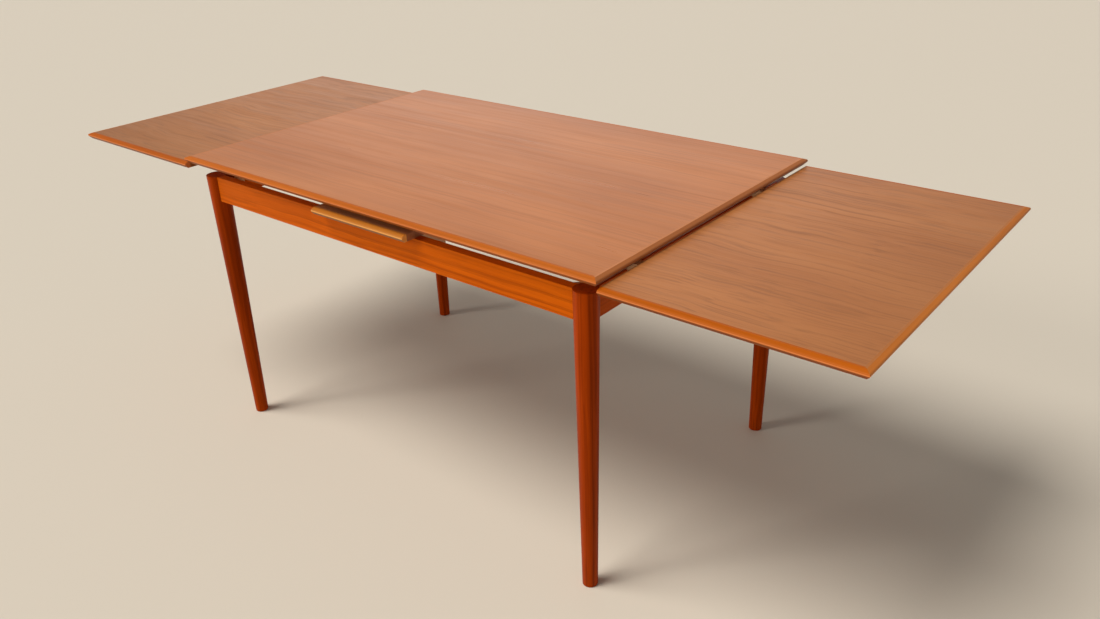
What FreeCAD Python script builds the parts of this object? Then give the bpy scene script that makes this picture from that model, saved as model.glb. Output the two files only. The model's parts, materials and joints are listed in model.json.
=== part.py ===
import FreeCAD, Part
import math
import os

os.makedirs("parts", exist_ok=True)

V = FreeCAD.Vector

# Heights and boards
TABLE_H = 742.0
BOARD_T = 16.0
FELT_T = 1.0
LEAF_DROP = 16.5
TOP_RAISE = 16.4

# Plan sizes
TOP_L = 1300.0
TOP_W = 845.0
LEAF_L = 497.0
SEAM = 1.0
LIP_W = 14.0
LIP_FLAT = 4.5
LIP_UNDER = 7.0
NOSE_R = 4.0
NOSE_Z = 9.5
BOARD_GAP = 4.0

# Frame
LEG_END_INSET = 58.0
LEG_SIDE_INSET = 47.5
LEG_R_TOP = 26.0
LEG_R_FOOT = 17.0
LEG_FOOT_ROUND = 2.5
APRON_T = 22.0
APRON_H = 66.0
APRON_SETBACK = 12.0
APRON_EASE = 1.5
TENON_T = 10.0
TENON_SIDE = 11.0
TENON_END = 8.0

# Corner blocks and hanger bolts
BLOCK_NEAR = 50.0
BLOCK_FAR = 72.0
BLOCK_INSET = 12.0
BOLT_R = 4.0
BOLT_GRIP = 12.0
BOLT_HOLE_PLAY = 0.4
BOLT_TAIL = 4.0
WASHER_R = 11.0
WASHER_T = 2.0
NUT_R = 8.0
NUT_T = 7.0

# Lopers, the sliding bars that carry a leaf
LOPER_W = 22.0
LOPER_H = 38.0
LOPER_END_GAP = 27.0
LOPER_OUT_INSET = 34.0
LOPER_PLAY = 0.3
LOPER_SIDE_INSET = 95.0
LOPER_PITCH = 30.0
NOTCH_SIDE_PLAY = 0.6
PEG_R = 5.0
PEG_BELOW = 12.0
PEG_INSIDE = 14.0
PEG_GAP = 0.6
SCREW_R = 2.25
SCREW_HEAD_R = 4.5
SCREW_HEAD_T = 3.0
SCREW_BITE = 9.0
SCREW_SINK = 5.0
SCREW_HOLE_PLAY = 0.5
SCREW_IN_INSET = 49.0
SCREW_OUT_INSET = 73.0

# Guide battens under the centre board
GUIDE_W = 7.0
GUIDE_END_INSET = 7.0
GUIDE_H = 44.0
GUIDE_PLAY = 0.5

# Dowels that keep the loose top over the centre board
DOWEL_R = 10.0
DOWEL_SIDE_INSET = 272.5
DOWEL_PLAY = 0.4
DOWEL_BITE = 9.0
DOWEL_DOWN = 50.0
PIN_R = 3.0
PIN_L = 34.0
PIN_GAP = 0.2

# Felt discs and screws of the centre board
FELT_R = 12.0
FELT_INSET_X = 42.0
FELT_INSET_Y = 102.5
BOARD_SCREW_INSET = 42.0
BOARD_SCREW_DEEP = 40.0
BOARD_SCREW_R = 2.0
BOARD_HEAD_R = 4.2
BOARD_HEAD_T = 2.6
BOARD_HEAD_SINK = 0.5

# Derived levels
TOP_UNDER = TABLE_H - BOARD_T
BOARD_TOP = TOP_UNDER - FELT_T
BOARD_UNDER = BOARD_TOP - BOARD_T
APRON_TOP = BOARD_UNDER
APRON_BOTTOM = APRON_TOP - APRON_H
LEG_X = TOP_L / 2 - LEG_END_INSET
LEG_Y = TOP_W / 2 - LEG_SIDE_INSET
FRONT_FACE = LEG_Y + LEG_R_TOP - APRON_SETBACK
END_FACE = LEG_X + LEG_R_TOP - APRON_SETBACK
INSIDE_Y = FRONT_FACE - APRON_T
INSIDE_X = END_FACE - APRON_T
LEAF_X0 = TOP_L / 2 + SEAM
LEAF_X1 = LEAF_X0 + LEAF_L
TRAVEL = LEAF_X1 - TOP_L / 2
SLOPE = LEAF_DROP / TRAVEL
BOARD_HALF = LEAF_X0 - TRAVEL - BOARD_GAP
LOPER_IN = TRAVEL - INSIDE_X + LOPER_END_GAP
LOPER_Y_LEFT = LEG_Y - LOPER_SIDE_INSET
LOPER_Y_RIGHT = LOPER_Y_LEFT - LOPER_PITCH
DOWEL_Y = TOP_W / 2 - DOWEL_SIDE_INSET
FELT_X = BOARD_HALF - FELT_INSET_X
FELT_Y = TOP_W / 2 - FELT_INSET_Y
BOARD_SCREW_X = BOARD_HALF - BOARD_SCREW_INSET
GUIDE_HALF = BOARD_HALF - GUIDE_END_INSET
SCREW_X0 = LEAF_X0 + SCREW_IN_INSET
SCREW_X1 = LEAF_X1 - SCREW_OUT_INSET
LOPER_SCREW_X = (SCREW_X0, (SCREW_X0 + SCREW_X1) / 2, SCREW_X1)


def save(name, shape):
    shape.exportStep("parts/" + name + ".step")


def box(x0, x1, y0, y1, z0, z1):
    return Part.makeBox(x1 - x0, y1 - y0, z1 - z0, V(x0, y0, z0))


def rod(r, length, start, along):
    return Part.makeCylinder(r, length, start, along)


def prism(points, along):
    wire = Part.makePolygon(points + [points[0]])
    return Part.Face(wire).extrude(along)


def tangent_point(x, z, turn):
    """Where a straight line from (x, z) touches the round nose of the edge profile."""
    out = x - (LIP_W - NOSE_R)
    rise = z - NOSE_Z
    angle = math.atan2(rise, out) + turn * math.acos(NOSE_R / math.hypot(out, rise))
    return LIP_W - NOSE_R + NOSE_R * math.cos(angle), NOSE_Z + NOSE_R * math.sin(angle)


def edge_profile(at):
    """Edge strip section: bevelled above and below, with a round nose between."""
    low = at(*tangent_point(LIP_UNDER, 0, 1))
    high = at(*tangent_point(LIP_FLAT, BOARD_T, -1))
    under = Part.makePolygon([at(0, 0), at(LIP_UNDER, 0), low])
    nose = Part.Arc(low, at(LIP_W, NOSE_Z), high).toShape()
    over = Part.makePolygon([high, at(LIP_FLAT, BOARD_T), at(0, BOARD_T), at(0, 0)])
    return Part.Face(Part.Wire(under.Edges + [nose] + over.Edges))


def plan_prism(points, z0, z1):
    return prism([V(x, y, z0) for x, y in points], V(0, 0, z1 - z0))


def mirror_x(shape):
    return shape.mirror(V(0, 0, 0), V(1, 0, 0))


def mirror_y(shape):
    return shape.mirror(V(0, 0, 0), V(0, 1, 0))


def lip_along_x(x0, x1, mitre0, mitre1, z):
    """Front edge strip of a board TOP_W wide, with a mitre at either end where asked."""
    y = -TOP_W / 2 + LIP_W
    strip = edge_profile(lambda n, h: V(x0, y - n, z + h)).extrude(V(x1 - x0, 0, 0))
    inner0 = x0 + LIP_W * mitre0
    inner1 = x1 - LIP_W * mitre1
    plan = [(x0, y - LIP_W), (x1, y - LIP_W), (inner1, y), (inner0, y)]
    return strip.common(plan_prism(plan, z - 1, z + BOARD_T + 1))


def lip_along_y(x, z):
    """Right end strip whose outer face is at x, mitred at both ends."""
    half = TOP_W / 2
    x_in = x - LIP_W
    strip = edge_profile(lambda n, h: V(x_in + n, -half, z + h)).extrude(V(0, 2 * half, 0))
    plan = [(x, -half), (x, half), (x_in, half - LIP_W), (x_in, LIP_W - half)]
    return strip.common(plan_prism(plan, z - 1, z + BOARD_T + 1))


# Main top: a veneered panel inside four mitred solid edge strips, on two dowels
PANEL_Y = TOP_W / 2 - LIP_W
raised = V(0, 0, TOP_RAISE)
panel = box(-TOP_L / 2 + LIP_W, TOP_L / 2 - LIP_W, -PANEL_Y, PANEL_Y, TOP_UNDER, TABLE_H)
pin_z = BOARD_UNDER - PIN_GAP - PIN_R - TOP_RAISE
for side, y in (("front", -DOWEL_Y), ("back", DOWEL_Y)):
    dowel = rod(DOWEL_R, DOWEL_DOWN + DOWEL_BITE, V(0, y, TOP_UNDER - DOWEL_DOWN), V(0, 0, 1))
    panel = panel.cut(dowel)
    pin = rod(PIN_R, PIN_L, V(-PIN_L / 2, y, pin_z), V(1, 0, 0))
    save("top_dowel_" + side, dowel.cut(pin).translated(raised))
    save("top_dowel_pin_" + side, pin.translated(raised))
save("top_panel", panel.translated(raised))
top_front = lip_along_x(-TOP_L / 2, TOP_L / 2, 1, 1, TOP_UNDER).translated(raised)
top_right = lip_along_y(TOP_L / 2, TOP_UNDER).translated(raised)
save("top_lip_front", top_front)
save("top_lip_back", mirror_y(top_front))
save("top_lip_right", top_right)
save("top_lip_left", mirror_x(top_right))


def loper_top(x):
    return BOARD_UNDER - LOPER_PLAY + SLOPE * (x - BOARD_HALF)


def loper_bottom(x):
    return loper_top(x) - LOPER_H


LOPER_X1 = LEAF_X1 - LOPER_OUT_INSET
PEG_X = INSIDE_X - PEG_R - PEG_GAP


def loper_bar(y):
    shoulder = TOP_L / 2 + 0.5
    outline = [
        (LOPER_IN, loper_bottom(LOPER_IN)),
        (LOPER_X1, loper_bottom(LOPER_X1)),
        (LOPER_X1, TOP_UNDER),
        (LEAF_X0 + 0.5, TOP_UNDER),
        (shoulder, loper_top(shoulder)),
        (LOPER_IN, loper_top(LOPER_IN)),
    ]
    return prism([V(x, y - LOPER_W / 2, z) for x, z in outline], V(0, LOPER_W, 0))


def loper_peg(y):
    z = loper_bottom(PEG_X)
    return rod(PEG_R, PEG_BELOW + PEG_INSIDE, V(PEG_X, y, z - PEG_BELOW), V(0, 0, 1))


def loper_screw(x, y):
    seat = loper_bottom(x) + SCREW_SINK + SCREW_HEAD_T
    head = rod(SCREW_HEAD_R, SCREW_HEAD_T, V(x, y, seat - SCREW_HEAD_T), V(0, 0, 1))
    shank = rod(SCREW_R, TOP_UNDER + SCREW_BITE - seat, V(x, y, seat), V(0, 0, 1))
    return head.fuse(shank).removeSplitter()


def screw_bore(x, y):
    below = V(x, y, loper_bottom(x) - SCREW_HEAD_R)
    deep = SCREW_HEAD_R + SCREW_SINK + SCREW_HEAD_T
    return rod(SCREW_HEAD_R + SCREW_HOLE_PLAY, deep, below, V(0, 0, 1))


def save_leaf(side, flip, loper_y):
    """One leaf with its edge strips, two lopers, stop pegs and screws."""
    x1 = LEAF_X1 - LIP_W
    leaf = box(LEAF_X0, x1, -PANEL_Y, PANEL_Y, TOP_UNDER, TABLE_H)
    screws = []
    pegs = []
    for place, y in (("front", -loper_y), ("back", loper_y)):
        bar = loper_bar(y)
        peg = loper_peg(y)
        bar = bar.cut(peg)
        pegs.append(flip(peg))
        for x in LOPER_SCREW_X:
            screw = loper_screw(x, y)
            bar = bar.cut(screw_bore(x, y)).cut(screw)
            leaf = leaf.cut(screw)
            screws.append(flip(screw))
        save(side + "_loper_" + place, flip(bar))
    front = lip_along_x(LEAF_X0, LEAF_X1, 0, 1, TOP_UNDER)
    save(side + "_leaf_panel", flip(leaf))
    save(side + "_leaf_lip_front", flip(front))
    save(side + "_leaf_lip_back", flip(mirror_y(front)))
    save(side + "_leaf_lip_end", flip(lip_along_y(LEAF_X1, TOP_UNDER)))
    save(side + "_loper_pegs", Part.makeCompound(pegs))
    save(side + "_loper_screws", Part.makeCompound(screws))


save_leaf("right", lambda s: s, LOPER_Y_RIGHT)
save_leaf("left", mirror_x, LOPER_Y_LEFT)


# Legs: round, straight taper, each with two mortises and a bolt hole
def leg_at_front_right():
    leg = Part.makeCone(LEG_R_FOOT, LEG_R_TOP, APRON_TOP, V(LEG_X, -LEG_Y, 0), V(0, 0, 1))
    foot = [e for e in leg.Edges if e.BoundBox.ZMax < 0.01]
    return leg.makeFillet(LEG_FOOT_ROUND, foot)


whole_leg = leg_at_front_right()
tenon_z0 = APRON_BOTTOM + TENON_SIDE
tenon_z1 = APRON_TOP - TENON_SIDE
tenon_y = -FRONT_FACE + (APRON_T - TENON_T) / 2
tenon_x = END_FACE - (APRON_T + TENON_T) / 2
front_tenon = box(
    LEG_X - LEG_R_TOP, LEG_X - TENON_END, tenon_y, tenon_y + TENON_T, tenon_z0, tenon_z1
)
end_tenon = box(
    tenon_x, tenon_x + TENON_T, -LEG_Y + TENON_END, -LEG_Y + LEG_R_TOP, tenon_z0, tenon_z1
)

# Hanger bolt on the diagonal, from the leg through the corner block
diagonal = V(-1, 1, 0)
diagonal.normalize()
leg_axis = V(LEG_X, -LEG_Y, (APRON_TOP + APRON_BOTTOM) / 2)
block_out = (BLOCK_FAR + LEG_Y - INSIDE_Y) / math.sqrt(2)
bolt_start = leg_axis + diagonal * (LEG_R_TOP - BOLT_GRIP)
bolt_end = block_out + WASHER_T + NUT_T + BOLT_TAIL
bolt = rod(BOLT_R, bolt_end - (LEG_R_TOP - BOLT_GRIP), bolt_start, diagonal)
washer = rod(WASHER_R, WASHER_T, leg_axis + diagonal * block_out, diagonal)
nut_at = leg_axis + diagonal * (block_out + WASHER_T)
hexagon = []
across = V(1, 1, 0)
across.normalize()
for i in range(6):
    a = math.radians(60 * i)
    hexagon.append(nut_at + across * (NUT_R * math.cos(a)) + V(0, 0, NUT_R * math.sin(a)))
nut = prism(hexagon, diagonal * NUT_T).fuse(washer).removeSplitter().cut(bolt)

leg = whole_leg.cut(front_tenon).cut(end_tenon).cut(bolt)
block_plan = [
    (LEG_X - BLOCK_NEAR, -INSIDE_Y),
    (INSIDE_X, BLOCK_NEAR - LEG_Y),
    (INSIDE_X, BLOCK_FAR - LEG_Y),
    (LEG_X - BLOCK_FAR, -INSIDE_Y),
]
block = plan_prism(block_plan, APRON_BOTTOM + BLOCK_INSET, APRON_TOP - BLOCK_INSET)
block = block.cut(rod(BOLT_R + BOLT_HOLE_PLAY, bolt_end, leg_axis, diagonal))

corners = (
    ("front_right", lambda s: s),
    ("front_left", mirror_x),
    ("back_right", mirror_y),
    ("back_left", lambda s: mirror_x(mirror_y(s))),
)
for name, place in corners:
    save("leg_" + name, place(leg))
    save("corner_block_" + name, place(block))
save("hanger_bolts", Part.makeCompound([place(bolt) for _, place in corners]))
save("hanger_nuts", Part.makeCompound([place(nut) for _, place in corners]))


def eased(shape, is_edge):
    return shape.makeChamfer(APRON_EASE, [e for e in shape.Edges if is_edge(e.BoundBox)])


# Long aprons, coped to the round legs and tenoned into them
front_rail = box(-LEG_X, LEG_X, -FRONT_FACE, -FRONT_FACE + APRON_T, APRON_BOTTOM, APRON_TOP)
front_rail = eased(front_rail, lambda b: b.ZMax < APRON_BOTTOM + 0.01 and b.XLength > 100)
front_rail = front_rail.cut(whole_leg).cut(mirror_x(whole_leg))
front_tenon_full = front_tenon.common(whole_leg)
front_rail = front_rail.fuse([front_tenon_full, mirror_x(front_tenon_full)]).removeSplitter()


def board_screw(x, y):
    z1 = BOARD_TOP - BOARD_HEAD_SINK
    shank = rod(BOARD_SCREW_R, BOARD_SCREW_DEEP, V(x, y, z1 - BOARD_SCREW_DEEP), V(0, 0, 1))
    head_at = V(x, y, z1 - BOARD_HEAD_T)
    head = Part.makeCone(BOARD_SCREW_R, BOARD_HEAD_R, BOARD_HEAD_T, head_at, V(0, 0, 1))
    return shank.fuse(head).removeSplitter()


screw_y = (FRONT_FACE + INSIDE_Y) / 2
board_screws = []
for x in (-BOARD_SCREW_X, BOARD_SCREW_X):
    screw = board_screw(x, -screw_y)
    front_rail = front_rail.cut(screw)
    board_screws.append(screw)
    board_screws.append(mirror_y(screw))
save("apron_front", front_rail)
save("apron_back", mirror_y(front_rail))
save("centre_board_screws", Part.makeCompound(board_screws))


# End aprons, with an open notch for each loper of the leaf on that side
def end_rail(loper_y):
    rail = box(INSIDE_X, END_FACE, -LEG_Y, LEG_Y, APRON_BOTTOM, APRON_TOP)
    rail = eased(rail, lambda b: b.ZMax < APRON_BOTTOM + 0.01 and b.YLength > 100)
    rail = rail.cut(whole_leg).cut(mirror_y(whole_leg))
    tenon = end_tenon.common(whole_leg)
    rail = rail.fuse([tenon, mirror_y(tenon)]).removeSplitter()
    x0 = INSIDE_X - 1
    x1 = END_FACE + 1
    floor0 = loper_bottom(x0) - LOPER_PLAY
    floor1 = loper_bottom(x1) - LOPER_PLAY
    high = APRON_TOP + 1
    width = LOPER_W + 2 * NOTCH_SIDE_PLAY
    for y in (-loper_y, loper_y):
        side = [(x0, floor0), (x1, floor1), (x1, high), (x0, high)]
        notch = prism([V(x, y - width / 2, z) for x, z in side], V(0, width, 0))
        rail = rail.cut(notch)
    return rail


save("apron_right", end_rail(LOPER_Y_RIGHT))
save("apron_left", mirror_x(end_rail(LOPER_Y_LEFT)))

# Centre board: fixed on the long aprons between the pushed-in leaves
board = box(-BOARD_HALF, BOARD_HALF, -PANEL_Y, PANEL_Y, BOARD_UNDER, BOARD_TOP)
for y in (-DOWEL_Y, DOWEL_Y):
    hole = rod(DOWEL_R + DOWEL_PLAY, BOARD_T + 2, V(0, y, BOARD_UNDER - 1), V(0, 0, 1))
    board = board.cut(hole)
for screw in board_screws:
    board = board.cut(screw)
sink = BOARD_HEAD_SINK + 1
for x in (-BOARD_SCREW_X, BOARD_SCREW_X):
    for y in (-screw_y, screw_y):
        board = board.cut(rod(BOARD_HEAD_R, sink, V(x, y, BOARD_TOP - BOARD_HEAD_SINK), V(0, 0, 1)))
save("centre_board", board)
board_front = lip_along_x(-BOARD_HALF, BOARD_HALF, 0, 0, BOARD_UNDER)
save("centre_board_lip_front", board_front)
save("centre_board_lip_back", mirror_y(board_front))

felts = []
for x in (-FELT_X, FELT_X):
    for y in (-FELT_Y, FELT_Y):
        felts.append(rod(FELT_R, FELT_T, V(x, y, BOARD_TOP), V(0, 0, 1)))
save("felt_discs", Part.makeCompound(felts))

# Guide battens between and beside the lopers, under the centre board
half_bar = LOPER_W / 2 + GUIDE_PLAY
rows = (
    ("inner", LOPER_Y_RIGHT - half_bar - GUIDE_W),
    ("middle", (LOPER_Y_RIGHT + LOPER_Y_LEFT - GUIDE_W) / 2),
    ("outer", LOPER_Y_LEFT + half_bar),
)
for name, y in rows:
    guide = box(-GUIDE_HALF, GUIDE_HALF, y, y + GUIDE_W, BOARD_UNDER - GUIDE_H, BOARD_UNDER)
    save("guide_" + name + "_back", guide)
    save("guide_" + name + "_front", mirror_y(guide))
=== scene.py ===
import json
import math

import bpy
from mathutils import Matrix, Vector

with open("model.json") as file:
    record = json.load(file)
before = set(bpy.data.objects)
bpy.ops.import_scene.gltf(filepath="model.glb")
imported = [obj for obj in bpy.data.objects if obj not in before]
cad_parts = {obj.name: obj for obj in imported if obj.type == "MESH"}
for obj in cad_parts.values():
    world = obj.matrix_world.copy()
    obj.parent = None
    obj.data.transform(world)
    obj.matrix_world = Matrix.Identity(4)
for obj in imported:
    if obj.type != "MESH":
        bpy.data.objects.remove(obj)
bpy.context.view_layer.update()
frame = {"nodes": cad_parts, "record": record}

scene = bpy.context.scene

# Tints of the varnish's reflection at a steep angle, on the legs and aprons and on the edge strips
WARM = (1.0, 0.5, 0.12)
ROSY = (1.0, 0.75, 0.5)

# The sky: strength low down and higher up, a pale haze along the horizon, and a soft brighter
# patch low behind the table
SKY_COLOUR = (1.0, 0.975, 0.94, 1)
SKY_LOW, SKY_HIGH = 0.1, 0.6
SKY_LOW_STRENGTH, SKY_HIGH_STRENGTH = 0.40, 0.21
HAZE_LOW, HAZE_HIGH, HAZE_STRENGTH = 0.03, 0.16, 0.45
PATCH_HEADING = (-0.615, 0.787, 0.05)
PATCH_EDGE = 0.88
PATCH_STRENGTH = 0.75
SUN_COLOUR = (1.0, 0.96, 0.90)

FLOOR_SIZE = 400
FLOOR_DARKER = (0.60, 0.545, 0.460, 1)
FLOOR_LIGHTER = (0.63, 0.575, 0.490, 1)

# Camera from the photograph: turn, downward pitch, slight roll, place and focal length in pixels
YAW, PITCH, ROLL = -0.6942, 0.4627, -0.0333
PLACE = Vector((1.5461, -1.6282, 1.4517)) * 1.0034
FOCAL_PX, WIDTH_PX = 946.9, 1100.0
SENSOR_MM = 36.0


def links(tree, *pairs):
    for a, b in pairs:
        tree.links.new(a, b)


def new_material(name):
    """A node material with its tree and its shader."""
    mat = bpy.data.materials.new(name)
    mat.use_nodes = True
    return mat, mat.node_tree, mat.node_tree.nodes["Principled BSDF"]


def wood(
    name, light, dark, along="X", rough=0.38, streak=1.0, wave=0.0, seed=0.0, gloss=0.4,
    wiggle=0.012, tint=(1, 1, 1), painted_nose_light=None, flat=None, painted_dimming=None,
):
    """Figured wood: long streaks and pores along one axis, over slow changes of tone.

    The nose colour is painted light along a rounded nose, mostly a painted highlight, and flat is the
    colour of its level part.
    The dimming paints the board darker along a heading, between two distances, by a depth, as painted
    shade where the board shows less sheen.
    """
    mat, tree, bsdf = new_material(name)
    n = tree.nodes
    deep = tuple(0.55 * c for c in dark)

    # Coordinates shifted by the seed and bent by a slow sway, so that the grain isn't ruled
    coord = n.new("ShaderNodeTexCoord")
    place = n.new("ShaderNodeMapping")
    place.inputs["Location"].default_value = (seed, seed * 1.7, seed * 0.6)
    sway = n.new("ShaderNodeTexNoise")
    sway.inputs["Scale"].default_value = 4.5
    sway.inputs["Detail"].default_value = 2.0
    centred = n.new("ShaderNodeVectorMath")
    centred.operation = "SUBTRACT"
    centred.inputs[1].default_value = (0.5, 0.5, 0.5)
    bent = n.new("ShaderNodeVectorMath")
    bent.operation = "MULTIPLY_ADD"
    bent.inputs[1].default_value = (wiggle, wiggle, wiggle)
    links(
        tree,
        (coord.outputs["Object"], place.inputs["Vector"]),
        (place.outputs["Vector"], sway.inputs["Vector"]),
        (sway.outputs["Color"], centred.inputs[0]),
        (centred.outputs["Vector"], bent.inputs[0]),
        (place.outputs["Vector"], bent.inputs[2]),
    )

    def grain(across, lengthwise, detail, fineness, scale=1.0):
        """Noise stretched along the grain."""
        sizes = {
            "X": (lengthwise, across, across),
            "Y": (across, lengthwise, across),
            "Z": (across, across, lengthwise),
        }
        stretched = n.new("ShaderNodeMapping")
        stretched.inputs["Scale"].default_value = sizes[along]
        noise = n.new("ShaderNodeTexNoise")
        noise.inputs["Scale"].default_value = scale
        noise.inputs["Detail"].default_value = detail
        noise.inputs["Roughness"].default_value = fineness
        links(
            tree,
            (bent.outputs["Vector"], stretched.inputs["Vector"]),
            (stretched.outputs["Vector"], noise.inputs["Vector"]),
        )
        return noise.outputs["Fac"]

    def mix(a, b, fac):
        """Colours or sockets a and b, mixed by the socket fac."""
        m = n.new("ShaderNodeMix")
        m.data_type = "RGBA"
        links(tree, (fac, m.inputs[0]))
        for socket, value in ((m.inputs[6], a), (m.inputs[7], b)):
            if hasattr(value, "is_linked"):
                links(tree, (value, socket))
            else:
                socket.default_value = (*value, 1.0)
        return m.outputs[2]

    def remap(value, from_min, from_max, to_min=0.0, to_max=1.0):
        m = n.new("ShaderNodeMapRange")
        m.inputs["From Min"].default_value = from_min
        m.inputs["From Max"].default_value = from_max
        m.inputs["To Min"].default_value = to_min
        m.inputs["To Max"].default_value = to_max
        links(tree, (value, m.inputs["Value"]))
        return m.outputs["Result"]

    slow = grain(3.0, 0.9, 3.0, 0.5, scale=2.0)
    streaks = grain(46.0, 1.6, 4.0, 0.62)
    fine = grain(240.0, 5.0, 3.0, 0.6)
    pores = grain(620.0, 22.0, 2.0, 0.5)
    lines = grain(150.0, 1.2, 2.0, 0.5)
    shade = mix(dark, light, remap(slow, 0.32, 0.68))
    shade = mix(shade, dark, remap(streaks, 0.5, 0.74, 0.0, 0.55 * streak))
    shade = mix(shade, light, remap(fine, 0.52, 0.75, 0.0, 0.35 * streak))
    if wave:
        shade = mix(shade, deep, remap(lines, 0.50, 0.70, 0.0, wave))
        shade = mix(shade, light, remap(lines, 0.46, 0.30, 0.0, wave))
    shade = mix(shade, deep, remap(pores, 0.6, 0.78, 0.0, 0.32 * streak))
    if painted_nose_light:
        facing = n.new("ShaderNodeSeparateXYZ")
        steep = n.new("ShaderNodeMath")
        steep.operation = "ABSOLUTE"
        links(
            tree,
            (n.new("ShaderNodeNewGeometry").outputs["Normal"], facing.inputs["Vector"]),
            (facing.outputs["Z"], steep.inputs[0]),
        )
        # Painted shade on the undercut, which faces down
        shade = mix(shade, deep, remap(facing.outputs["Z"], -0.2, -0.6, 0.0, 0.7))
        # Painted light along the nose, which faces sideways: a painted highlight on most lips
        shade = mix(shade, painted_nose_light, remap(steep.outputs["Value"], 0.45, 0.15, 0.0, 0.75))
        if flat:
            shade = mix(shade, flat, remap(facing.outputs["Z"], 0.95, 0.99, 0.0, 0.85))
    # Painted shade: the board darker along a heading, where it shows less sheen
    if painted_dimming:
        heading, begins, ends, depth = painted_dimming
        along_board = n.new("ShaderNodeVectorMath")
        along_board.operation = "DOT_PRODUCT"
        along_board.inputs[1].default_value = heading
        links(tree, (coord.outputs["Object"], along_board.inputs[0]))
        shade = mix(shade, deep, remap(along_board.outputs["Value"], begins, ends, 0.0, depth))

    bump = n.new("ShaderNodeBump")
    bump.inputs["Strength"].default_value = 0.12
    bump.inputs["Distance"].default_value = 0.0004
    bsdf.inputs["Specular IOR Level"].default_value = gloss
    bsdf.inputs["Specular Tint"].default_value = (*tint, 1.0)
    links(
        tree,
        (shade, bsdf.inputs["Base Color"]),
        (remap(streaks, 0.3, 0.7, rough - 0.05, rough + 0.07), bsdf.inputs["Roughness"]),
        (fine, bump.inputs["Height"]),
        (bump.outputs["Normal"], bsdf.inputs["Normal"]),
    )
    return mat


def plain(name, colour, darker, rough, metal=0.0, scale=300.0):
    """A speckled plain material for felt and plated steel."""
    mat, tree, bsdf = new_material(name)
    coord = tree.nodes.new("ShaderNodeTexCoord")
    speckle = tree.nodes.new("ShaderNodeTexNoise")
    speckle.inputs["Scale"].default_value = scale
    speckle.inputs["Detail"].default_value = 4.0
    ramp = tree.nodes.new("ShaderNodeValToRGB")
    ramp.color_ramp.elements[0].color = (*darker, 1.0)
    ramp.color_ramp.elements[1].color = (*colour, 1.0)
    links(
        tree,
        (coord.outputs["Object"], speckle.inputs["Vector"]),
        (speckle.outputs["Fac"], ramp.inputs["Fac"]),
        (ramp.outputs["Color"], bsdf.inputs["Base Color"]),
    )
    bsdf.inputs["Roughness"].default_value = rough
    bsdf.inputs["Metallic"].default_value = metal
    return mat


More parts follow.
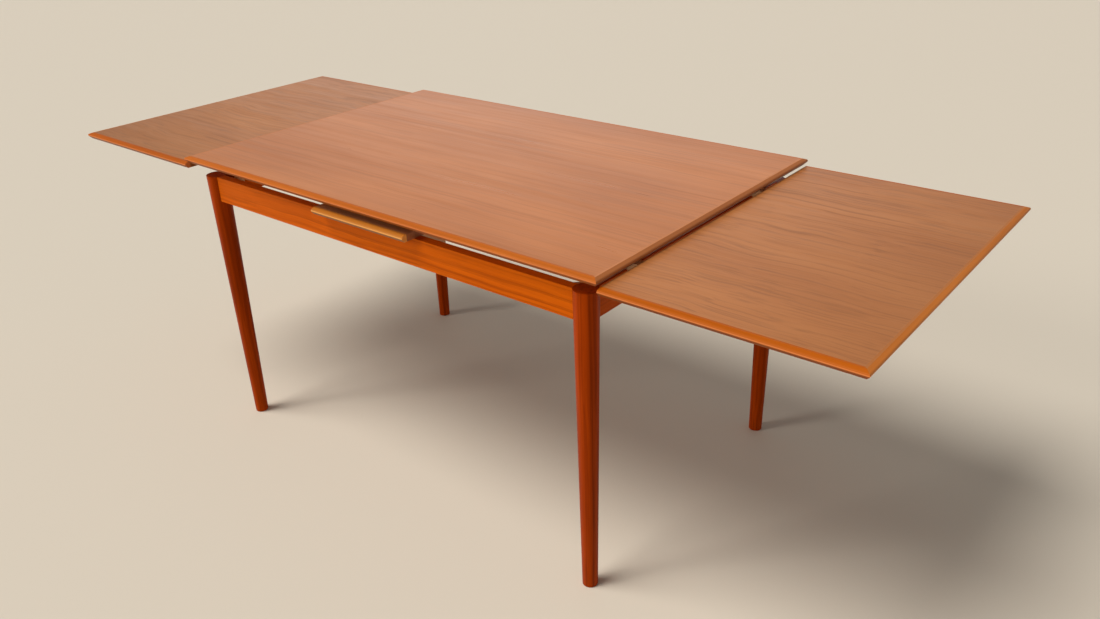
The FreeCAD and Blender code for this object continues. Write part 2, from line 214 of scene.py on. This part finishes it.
MATERIALS = {
    "veneer_top": wood(
        "veneer top", (0.535, 0.184, 0.051), (0.42, 0.133, 0.032),
        rough=0.32, streak=0.9, wave=0.26, gloss=0.35,
    ),
    # The leaves are painted darker along a heading, as painted shade where they show less sheen
    "veneer_right": wood(
        "veneer right", (0.49, 0.184, 0.054), (0.40, 0.138, 0.038),
        rough=0.34, wave=0.52, seed=3.0, gloss=0.35, wiggle=0.045,
        painted_dimming=((1.0, 0.0, 0.0), 0.75, 1.15, 0.34),
    ),
    "veneer_left": wood(
        "veneer left", (0.455, 0.172, 0.046), (0.375, 0.130, 0.032),
        rough=0.34, wave=0.48, seed=7.0, gloss=0.28, wiggle=0.045,
        painted_dimming=((-0.6, -0.8, 0.0), 0.58, 1.05, 0.62),
    ),
    # The nose colours of the lips below are painted light, mostly painted highlights
    "lip": wood(
        "lip", (0.445, 0.098, 0.004), (0.365, 0.075, 0.003),
        rough=0.40, streak=0.9, wave=0.2, seed=1.0, gloss=0.12, tint=ROSY,
        painted_nose_light=(0.72, 0.235, 0.075),
    ),
    # The end lip's colours are painted lighter than the front lip's, as painted light on the ends of
    # the leaves
    "lip_end": wood(
        "lip end", (0.56, 0.175, 0.030), (0.48, 0.140, 0.022), along="Y",
        rough=0.40, streak=0.9, wave=0.2, seed=2.0, gloss=0.12, tint=ROSY,
        painted_nose_light=(0.6, 0.195, 0.03), flat=(0.375, 0.138, 0.042),
    ),
    "top_lip": wood(
        "top lip", (0.50, 0.128, 0.014), (0.42, 0.098, 0.010),
        rough=0.40, streak=0.9, wave=0.2, seed=1.5, gloss=0.12, tint=ROSY,
        painted_nose_light=(0.68, 0.205, 0.062),
    ),
    "top_lip_end": wood(
        "top lip end", (0.43, 0.145, 0.044), (0.36, 0.115, 0.034), along="Y",
        rough=0.40, streak=0.9, wave=0.2, seed=2.5, gloss=0.2, tint=ROSY,
        painted_nose_light=(0.42, 0.13, 0.03), flat=(0.52, 0.195, 0.074),
    ),
    # Its nose colour is a bright painted highlight
    "board_lip": wood(
        "board lip", (0.50, 0.17, 0.02), (0.40, 0.125, 0.014),
        rough=0.34, streak=0.9, wave=0.15, seed=5.0, gloss=0.35, tint=ROSY,
        painted_nose_light=(0.95, 0.46, 0.12),
    ),
    "board": wood(
        "board", (0.42, 0.17, 0.07), (0.33, 0.12, 0.045), rough=0.42, wave=0.3, seed=9.0,
    ),
    "apron": wood(
        "apron", (0.68, 0.126, 0.0012), (0.46, 0.071, 0.0007),
        rough=0.42, wave=0.55, seed=4.0, gloss=0.06, wiggle=0.014, tint=WARM,
    ),
    "apron_end": wood(
        "apron end", (0.51, 0.081, 0.0011), (0.34, 0.047, 0.0007), along="Y",
        rough=0.42, wave=0.55, seed=6.0, gloss=0.06, wiggle=0.014, tint=WARM,
    ),
    "leg": wood(
        "leg", (0.41, 0.049, 0.0009), (0.25, 0.025, 0.0004), along="Z",
        wave=0.6, seed=8.0, gloss=0.08, tint=WARM,
    ),
    "beech": wood(
        "beech", (0.60, 0.40, 0.23), (0.50, 0.31, 0.165), rough=0.5, streak=0.8, seed=11.0,
    ),
    "beech_block": wood(
        "beech block", (0.60, 0.40, 0.23), (0.50, 0.31, 0.165), along="Z",
        rough=0.5, streak=0.8, seed=12.0,
    ),
    "felt": plain("felt", (0.035, 0.10, 0.04), (0.015, 0.05, 0.018), rough=0.95, scale=900.0),
    "steel": plain(
        "steel", (0.62, 0.61, 0.58), (0.45, 0.44, 0.42), rough=0.35, metal=1.0, scale=400.0,
    ),
}
for part in frame["record"]["subparts"]:
    node = frame["nodes"][part["node"]]
    node.data.materials.clear()
    node.data.materials.append(MATERIALS[part["material_slot"]])

# Plain pale floor
bpy.ops.mesh.primitive_plane_add(size=FLOOR_SIZE, location=(0, 0, 0))
floor = bpy.context.object
floor.name = "floor"
pale, floor_tree, floor_bsdf = new_material("pale floor")
mottle = floor_tree.nodes.new("ShaderNodeTexNoise")
mottle.inputs["Scale"].default_value = 1.2
floor_ramp = floor_tree.nodes.new("ShaderNodeValToRGB")
floor_ramp.color_ramp.elements[0].color = FLOOR_DARKER
floor_ramp.color_ramp.elements[1].color = FLOOR_LIGHTER
links(
    floor_tree,
    (mottle.outputs["Fac"], floor_ramp.inputs["Fac"]),
    (floor_ramp.outputs["Color"], floor_bsdf.inputs["Base Color"]),
)
floor_bsdf.inputs["Roughness"].default_value = 0.8
floor.data.materials.append(pale)

# Soft studio light: the sky, and two broad even lights from the front left
world = bpy.data.worlds.new("sky")
scene.world = world
world.use_nodes = True
sky = world.node_tree
background = sky.nodes["Background"]
background.inputs["Color"].default_value = SKY_COLOUR
direction = sky.nodes.new("ShaderNodeTexCoord")
height = sky.nodes.new("ShaderNodeSeparateXYZ")
glow = sky.nodes.new("ShaderNodeMapRange")
glow.inputs["From Min"].default_value = SKY_LOW
glow.inputs["From Max"].default_value = SKY_HIGH
glow.inputs["To Min"].default_value = SKY_LOW_STRENGTH
glow.inputs["To Max"].default_value = SKY_HIGH_STRENGTH
nearness = sky.nodes.new("ShaderNodeVectorMath")
nearness.operation = "DOT_PRODUCT"
nearness.inputs[1].default_value = PATCH_HEADING
patch = sky.nodes.new("ShaderNodeMapRange")
patch.interpolation_type = "SMOOTHSTEP"
patch.inputs["From Min"].default_value = PATCH_EDGE
patch.inputs["From Max"].default_value = 1.0
patch.inputs["To Max"].default_value = PATCH_STRENGTH
haze = sky.nodes.new("ShaderNodeMapRange")
haze.interpolation_type = "SMOOTHSTEP"
haze.inputs["From Min"].default_value = HAZE_LOW
haze.inputs["From Max"].default_value = HAZE_HIGH
haze.inputs["To Min"].default_value = HAZE_STRENGTH
haze.inputs["To Max"].default_value = 0.0
with_patch = sky.nodes.new("ShaderNodeMath")
with_haze = sky.nodes.new("ShaderNodeMath")
links(
    sky,
    (direction.outputs["Generated"], height.inputs["Vector"]),
    (height.outputs["Z"], glow.inputs["Value"]),
    (direction.outputs["Generated"], nearness.inputs[0]),
    (nearness.outputs["Value"], patch.inputs["Value"]),
    (height.outputs["Z"], haze.inputs["Value"]),
    (glow.outputs["Result"], with_patch.inputs[0]),
    (patch.outputs["Result"], with_patch.inputs[1]),
    (with_patch.outputs["Value"], with_haze.inputs[0]),
    (haze.outputs["Result"], with_haze.inputs[1]),
    (with_haze.outputs["Value"], background.inputs["Strength"]),
)


def broad_light(name, towards, power, spread):
    """An even light that shines along a direction, softened over a spread in degrees."""
    data = bpy.data.lights.new(name, "SUN")
    data.energy = power
    data.angle = math.radians(spread)
    data.color = SUN_COLOUR
    obj = bpy.data.objects.new(name, data)
    scene.collection.objects.link(obj)
    obj.rotation_euler = Vector(towards).to_track_quat("-Z", "Y").to_euler()


broad_light("overhead", (0.36, 0.46, -1.0), 2.8, 32)
broad_light("low", (0.55, 0.75, -0.42), 0.78, 14)

# The camera's axes, first level and then rolled
forward = Vector((math.sin(YAW) * math.cos(PITCH), math.cos(YAW) * math.cos(PITCH), -math.sin(PITCH)))
level_right = Vector((math.cos(YAW), -math.sin(YAW), 0))
level_up = level_right.cross(forward)
right = level_right * math.cos(ROLL) + level_up * math.sin(ROLL)
up = level_up * math.cos(ROLL) - level_right * math.sin(ROLL)
cam_data = bpy.data.cameras.new("camera")
cam = bpy.data.objects.new("camera", cam_data)
scene.collection.objects.link(cam)
turn = Matrix((right, up, -forward)).transposed()
cam.matrix_world = Matrix.Translation(PLACE) @ turn.to_4x4()
cam_data.sensor_fit = "HORIZONTAL"
cam_data.sensor_width = SENSOR_MM
cam_data.lens = SENSOR_MM * FOCAL_PX / WIDTH_PX
cam_data.clip_start = 0.05
scene.camera = cam
scene.view_settings.view_transform = "Standard"
